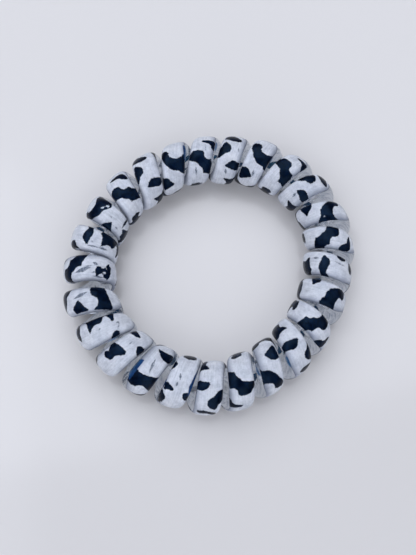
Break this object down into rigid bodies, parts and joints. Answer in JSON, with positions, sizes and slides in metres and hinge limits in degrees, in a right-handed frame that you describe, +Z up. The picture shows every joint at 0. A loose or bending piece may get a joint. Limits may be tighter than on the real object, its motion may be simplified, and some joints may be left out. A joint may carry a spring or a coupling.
{
  "type": "spiral hair tie",
  "caption": "Stretchy spiral hair tie: one soft clear cord wound into a closed ring of close turns, with a glossy cow-print film on its outward face.",
  "frame": {"origin": "middle of the ring's bounding box, at the level of the surface that the tie lies on", "axes": "+Z up through the ring's opening; the tie lies flat, and -Y is the side nearest the viewer in the picture"},
  "size_m": [0.0554, 0.055, 0.0103],
  "materials": {
    "cord": "clear soft plastic with a glossy white film printed with dark navy cow patches on its outward face"
  },
  "bodies": {
    "root": {"spiral_cord": "cord"}
  },
  "joints": []
}
